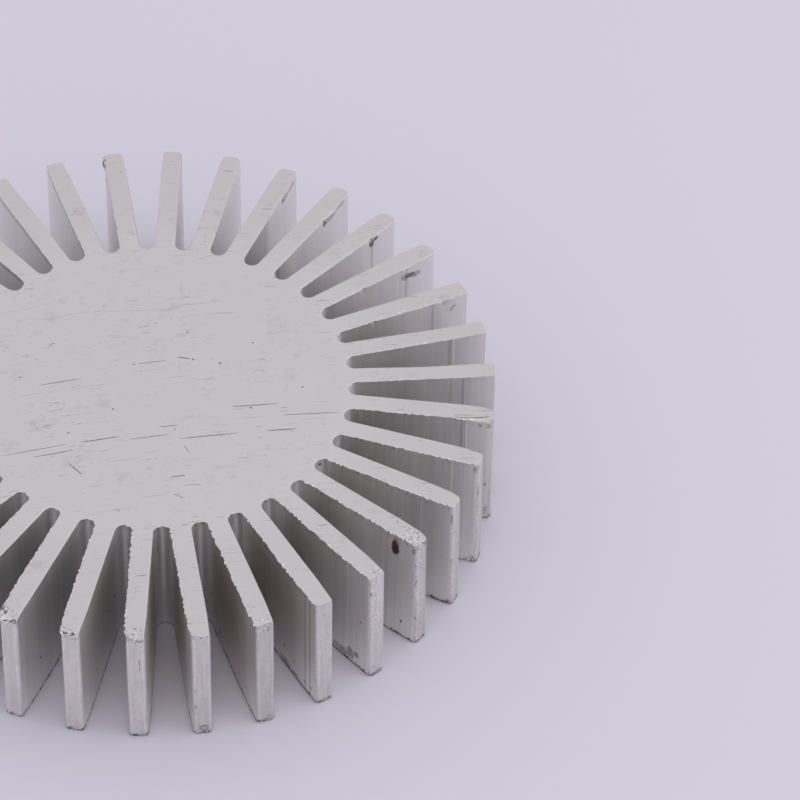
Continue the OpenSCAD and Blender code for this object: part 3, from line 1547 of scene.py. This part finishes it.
    def _dress(self) -> None:
        """Gives each face its finish by place and normal, and smooths the round parts."""
        mesh = self.piece.data
        finishes = {
            Skin.SAWN: SawnFinish(self.stroke),
            Skin.WALL: WallFinish(),
            Skin.TIP: TipFinish(),
            Skin.SCRATCH: SCRATCH_SHADE_FINISH,
            Skin.STAIN: STAIN_FINISH,
            Skin.FAINT: FAINT_SHADE_FINISH,
        }
        for skin, finish in finishes.items():
            mesh.materials[skin] = finish.material()
        tip_start = self.section.corner_along + self.section.corner_radius * self.tip_share
        marked = (Skin.SCRATCH, Skin.STAIN, Skin.FAINT)
        for face in mesh.polygons:
            if face.material_index in marked and face.center.z > self.height / 2:
                continue
            out = math.hypot(face.center.x, face.center.y)
            # The crack's faces take the scratch floor, painted shade in the crack
            if any(self.cracked[i] for i in face.vertices):
                face.material_index = Skin.SCRATCH
            elif face.normal.z > self.sawn_above or face.normal.z < self.sawn_below:
                face.material_index = Skin.SAWN
            else:
                face.material_index = Skin.TIP if out > tip_start else Skin.WALL
        bpy.ops.object.select_all(action="DESELECT")
        self.piece.select_set(True)
        bpy.context.view_layer.objects.active = self.piece
        bpy.ops.object.shade_smooth_by_angle(angle=self.smooth_angle)
        for face in mesh.polygons:
            if face.material_index in (Skin.SAWN, *marked):
                face.use_smooth = False


@dataclass(frozen=True)
class SoftBox:
    """A square soft lamp that is aimed at the part."""

    name: str
    place: Place
    size: float
    power: float

    def hang(self) -> None:
        """Adds the lamp to the scene."""
        lamp = bpy.data.lights.new(self.name, "AREA")
        lamp.shape = "SQUARE"
        lamp.size = self.size
        lamp.energy = self.power
        holder = bpy.data.objects.new(self.name, lamp)
        aim = Vector(self.place).to_track_quat("Z", "Y").to_matrix().to_4x4()
        holder.matrix_world = Matrix.Translation(self.place) @ aim
        bpy.context.scene.collection.objects.link(holder)


@dataclass(frozen=True)
class Studio:
    """The pale table, the soft light and the camera at the photograph's viewing angle."""

    table: Colour = display_colour(211, 207, 220)
    sky: Colour = display_colour(250, 248, 252)
    sky_strength: float = 0.98
    sky_slope: Place = (0.0, 0.05, -0.15)
    table_size: float = 6.0
    table_roughness: float = 0.8
    table_gloss: float = 0.1
    lamps: tuple[SoftBox, ...] = (
        SoftBox("top_box", (0.25, 0.1, 1.1), 1.2, 1.2),
        SoftBox("right_box", (0.8, -0.2, 0.45), 0.6, 1.5),
    )
    focus: Place = (35.59 * MM, -5.6 * MM, 21.0 * MM)
    distance: float = 0.71
    azimuth: float = -4.87
    elevation: float = 45.71
    roll: float = 1.09
    lens: float = 218.6

    def build(self) -> None:
        """Sets up everything that isn't the part."""
        self._lay_table()
        self._light_room()
        for lamp in self.lamps:
            lamp.hang()
        self._place_camera()

    def _lay_table(self) -> None:
        """Adds the table top."""
        bpy.ops.object.select_all(action="DESELECT")
        bpy.ops.mesh.primitive_plane_add(size=self.table_size, location=(0.0, 0.0, 0.0))
        table = bpy.context.object
        table.name = "table_top"
        graph = Graph("table_top")
        table.data.materials.append(graph.dress(self.table, self.table_roughness, 0.0))
        graph.shader.inputs["Specular IOR Level"].default_value = self.table_gloss

    def _light_room(self) -> None:
        """Lights the part from all around, as in a light tent, more from some sides than from others."""
        world = bpy.data.worlds.new("light_tent")
        world.use_nodes = True
        nodes, links = world.node_tree.nodes, world.node_tree.links
        tent = nodes["Background"]
        tent.inputs["Color"].default_value = (*self.sky, 1.0)
        looking = nodes.new("ShaderNodeTexCoord")
        share = nodes.new("ShaderNodeVectorMath")
        share.operation = "DOT_PRODUCT"
        share.inputs[1].default_value = self.sky_slope
        strength = nodes.new("ShaderNodeMath")
        strength.inputs[1].default_value = self.sky_strength
        links.new(looking.outputs["Generated"], share.inputs[0])
        links.new(share.outputs["Value"], strength.inputs[0])
        links.new(strength.outputs[0], tent.inputs["Strength"])
        bpy.context.scene.world = world
        bpy.context.scene.view_settings.view_transform = "Standard"

    def _place_camera(self) -> None:
        """Places the camera and makes it the scene's own."""
        turn = math.radians(self.azimuth)
        lift = math.radians(self.elevation)
        flat = math.cos(lift)
        back = Vector((math.sin(turn) * flat, -math.cos(turn) * flat, math.sin(lift)))
        side = Vector((math.cos(turn), math.sin(turn), 0.0))
        right = Matrix.Rotation(math.radians(self.roll), 3, back) @ side
        up = back.cross(right)
        camera = bpy.data.cameras.new("camera")
        camera.lens = self.lens
        holder = bpy.data.objects.new("camera", camera)
        axes = Matrix((right, up, back)).transposed().to_4x4()
        holder.matrix_world = Matrix.Translation(Vector(self.focus) + back * self.distance) @ axes
        bpy.context.scene.collection.objects.link(holder)
        bpy.context.scene.camera = holder


def faint(x: float, y: float, length: float, turn: float | None = None) -> Mark:
    """A fine scratch in the top face that hardly shows, in mm."""
    return Mark(x, y, length, FAINT_WIDTH, turn, Skin.FAINT)


MARKS = [
    Mark(4.4, 4.9, 2.1, 0.2, turn=-14.0),
    Mark(5.75, 4.5, 0.4, 0.34),
    Mark(-0.3, 4.3, 4.6, 0.13),
    Mark(-2.95, 4.0, 0.3, 0.28),
    Mark(14.4, -5.4, 7.2, 0.18),
    Mark(13.7, -5.9, 0.4, 0.3),
    Mark(22.4, -7.6, 9.0, 0.15),
    Mark(18.0, -10.6, 4.6, 0.22),
    Mark(7.4, -11.2, 9.2, 0.18),
    Mark(-8.3, -11.0, 6.0, 0.18),
    Mark(-1.2, -10.9, 6.2, 0.14),
    Mark(-17.9, -12.6, 10.0, 0.13),
    Mark(-15.2, -13.5, 6.2, 0.16, skin=Skin.STAIN),
    Mark(-12.1, -16.7, 3.2, 0.18, turn=-52.0),
    Mark(2.6, -19.0, 2.3, 0.2),
    Mark(-13.9, 1.0, 6.6, 0.15),
    Mark(1.7, -8.9, 3.0, 0.15),
    faint(-13.5, 14.7, 8.6),
    faint(-2.3, 15.2, 12.4, -2.0),
    faint(-19.1, 14.2, 3.2),
    faint(-20.8, 11.0, 3.4),
    faint(-14.6, 13.2, 1.4, 39.0),
    faint(-5.3, 10.1, 2.8, -4.0),
    faint(-7.6, 3.3, 2.1),
    faint(-5.7, 4.9, 2.4, 16.0),
    faint(0.3, 2.8, 5.0),
    faint(3.4, 1.1, 3.5),
    faint(7.6, 0.4, 4.0),
    faint(14.2, 2.1, 3.2, 10.0),
    faint(15.6, -0.7, 3.8),
    faint(18.3, 9.3, 4.2, 10.0),
    faint(22.3, 10.6, 3.8, 26.0),
    faint(24.0, -5.2, 2.8),
    faint(13.8, -7.9, 4.6),
    faint(22.8, -8.7, 4.0),
    faint(8.8, -9.1, 3.6),
    faint(-5.2, -15.3, 5.6),
    faint(-11.9, -25.0, 1.6),
    faint(-1.2, -22.7, 3.8),
    faint(-8.7, -0.7, 1.8),
    faint(13.3, -15.6, 1.8),
    Mark(2.6, -22.9, 1.9, 0.11, turn=-31.0),
    Mark(4.1, -13.7, 1.9, 0.11, turn=-67.0),
    Mark(-6.2, -25.2, 0.8, 0.12, turn=-49.0),
    Mark(-14.9, 8.9, 1.1, 0.14, turn=18.0, skin=Skin.STAIN),
    Mark(5.2, 10.2, 0.34, 0.3),
    Mark(14.7, 7.5, 0.3, 0.28),
    Mark(9.7, 3.5, 0.4, 0.34, skin=Skin.STAIN),
    Mark(21.5, -2.1, 0.34, 0.3),
    Mark(-6.3, -5.0, 0.34, 0.28),
    Mark(-12.9, -9.4, 0.36, 0.28),
    Mark(-19.7, 2.3, 0.34, 0.28),
    Mark(3.2, -28.6, 1.3, 0.12, turn=5.0),
    Mark(-3.4, -38.0, 1.8, 0.12, turn=2.0),
    faint(-4.0, -40.2, 1.5),
    faint(-4.1, -41.0, 1.3),
    faint(3.9, -41.2, 1.5),
    faint(-3.5, 36.1, 1.6),
    faint(4.0, 42.5, 1.8),
    Mark(12.8, 44.8, 1.7, 0.12, turn=-12.0, skin=Skin.STAIN),
    Mark(33.5, -29.8, 0.8, 0.12, turn=-60.0),
    Mark(44.6, -9.2, 3.2, 0.1, turn=-5.0),
    Mark(22.8, -29.8, 1.5, 0.12, turn=8.0, skin=Skin.STAIN),
]


def rounded_tip(fin: int, amount: float) -> list[Knock]:
    """Rounds off the corners of a tip, one less than the other, and lets its end stand out.

    Args:
        fin: Number of the fin.
        amount: How far the rounder corner is pushed in, in mm.

    Returns:
        The dents that do it.
    """
    less = amount * 0.6
    return [
        Knock(fin, (TIP, 1.3, 0.0), (0.9, 0.8, WHOLE_TIP), (-amount, -amount, 0.0)),
        Knock(fin, (TIP, -1.3, 0.0), (0.6, 0.5, WHOLE_TIP), (-less, less, 0.0)),
        Knock(fin, (TIP, -0.6, 0.0), (0.5, 0.8, WHOLE_TIP), (amount / 2, 0.0, 0.0)),
    ]


def bent_fin(fin: int, amount: float) -> Knock:
    """A fin that is bent clockwise over its whole height, by an amount in mm at its tip."""
    return Knock(fin, (TIP, 0.0, -MID_WALL), (16.0, 40.0, 60.0), (0.0, -amount, 0.0))


KNOCKS = [
    Knock(1, (TIP, 1.4, 0.0), (1.6, 0.9, WHOLE_TIP), (-0.2, -0.4, 0.0)),
    Knock(2, (TIP, 1.3, 0.0), (1.5, 0.8, WHOLE_TIP), (-0.05, -0.2, 0.0)),
    Knock(3, (TIP, 1.3, 0.0), (1.2, 0.8, WHOLE_TIP), (-0.1, -0.25, 0.0)),
    Knock(4, (TIP, 1.3, 0.0), (1.2, 0.8, WHOLE_TIP), (-0.1, -0.2, 0.0)),
    Knock(4, (49.8, -1.4, 0.0), (0.5, 0.5, 0.7), (-0.25, 0.1, -0.25)),
    Knock(4, (49.2, -1.7, 0.0), (0.25, 0.3, 0.5), (0.0, 0.25, -0.1)),
    Knock(4, (48.4, -1.7, 0.0), (0.2, 0.3, 0.4), (0.0, 0.2, -0.1)),
    Knock(4, (46.2, -1.7, 0.0), (0.25, 0.3, 0.5), (0.0, 0.18, -0.05)),
    Knock(5, (TIP, 1.3, 0.0), (1.6, 0.8, WHOLE_TIP), (0.0, -0.05, 0.0)),
    Knock(7, (TIP, 0.0, 0.0), (0.4, 1.5, 0.4), (-0.3, 0.0, -0.1)),
    Knock(7, (49.6, -1.0, 0.0), (0.4, 0.8, 0.4), (0.1, -0.1, -0.2)),
    Knock(8, (TIP, -1.4, 0.0), (0.8, 0.6, 1.0), (-0.5, 0.25, -0.3)),
    Knock(9, (TIP, -1.4, 0.0), (0.8, 0.6, 1.0), (-0.5, 0.25, -0.3)),
    Knock(10, (TIP, -0.4, 0.0), (0.5, 1.6, 0.35), (0.35, 0.0, -0.15)),
    Knock(10, (49.9, 0.4, 0.0), (0.25, 0.3, 0.3), (-0.2, 0.0, -0.2)),
    Knock(10, (49.9, -0.7, 0.0), (0.25, 0.3, 0.3), (-0.15, 0.0, -0.2)),
    Knock(11, (49.8, 0.3, 0.0), (1.0, 1.5, 0.5), (0.8, 0.1, -0.55)),
    Knock(11, (48.8, -0.9, 0.0), (0.4, 0.4, 0.4), (0.0, 0.0, -0.25)),
    Knock(11, (49.3, 0.2, 0.0), (0.3, 0.5, 0.4), (0.0, 0.0, -0.25)),
    Knock(0, (40.0, 1.5, 0.0), (7.0, 0.8, 1.5), (0.0, -0.25, -0.05)),
    bent_fin(-1, 0.2),
    Knock(-1, (44.0, 1.5, 0.0), (8.0, 0.8, 1.5), (0.0, -0.3, -0.05)),
    bent_fin(-2, 0.65),
    Knock(-2, (46.0, -1.5, 0.0), (0.5, 0.4, 0.6), (0.0, 0.2, -0.1)),
    Knock(-2, (34.7, -1.6, 0.0), (0.3, 0.3, 0.5), (0.0, 0.25, -0.1)),
    Knock(-3, (44.0, -1.5, 0.0), (0.7, 0.35, 0.5), (0.0, -0.15, 0.0)),
    Knock(-3, (47.4, -1.5, 0.0), (0.5, 0.35, 0.5), (0.0, -0.12, 0.0)),
    Knock(-3, (36.5, -1.6, 0.0), (0.3, 0.3, 0.5), (0.0, 0.25, -0.1)),
    Knock(-4, (44.2, -1.5, 0.0), (0.5, 0.35, 0.8), (0.0, 0.22, -0.1)),
    Knock(-5, (42.5, -1.5, 0.0), (0.6, 0.35, 0.8), (0.0, 0.2, -0.1)),
    Knock(-9, (48.8, 1.45, -0.9), (0.8, 0.5, 1.0), (0.0, 0.5, 0.0)),
    *rounded_tip(-3, 0.22),
    *rounded_tip(-4, 0.24),
    *rounded_tip(-5, 0.2),
    *rounded_tip(-6, 0.16),
    *rounded_tip(-7, 0.14),
]


SPLITS = [
    Split(
        fin=1,
        start=44.4,
        end=49.45,
        depth=(0.1, 0.7),
        half_width=0.045,
        sink=0.22,
        spread=0.3,
        droop=0.08,
    )
]


def main() -> None:
    """Builds the part and the studio."""
    logging.basicConfig(level=logging.INFO, format="%(name)s: %(message)s")
    low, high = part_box(NODE)
    section = FinSection(outer_radius=high.x)
    body = HeatSinkBody(section, high.z - low.z, MARKS, KNOCKS, SPLITS).build()
    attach(body, BODY)
    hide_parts(NODE)
    body.data.calc_loop_triangles()
    log.info("%s: %d triangles", body.name, len(body.data.loop_triangles))
    Studio().build()
    log.info("sizes written")


if __name__ == "__main__":
    main()
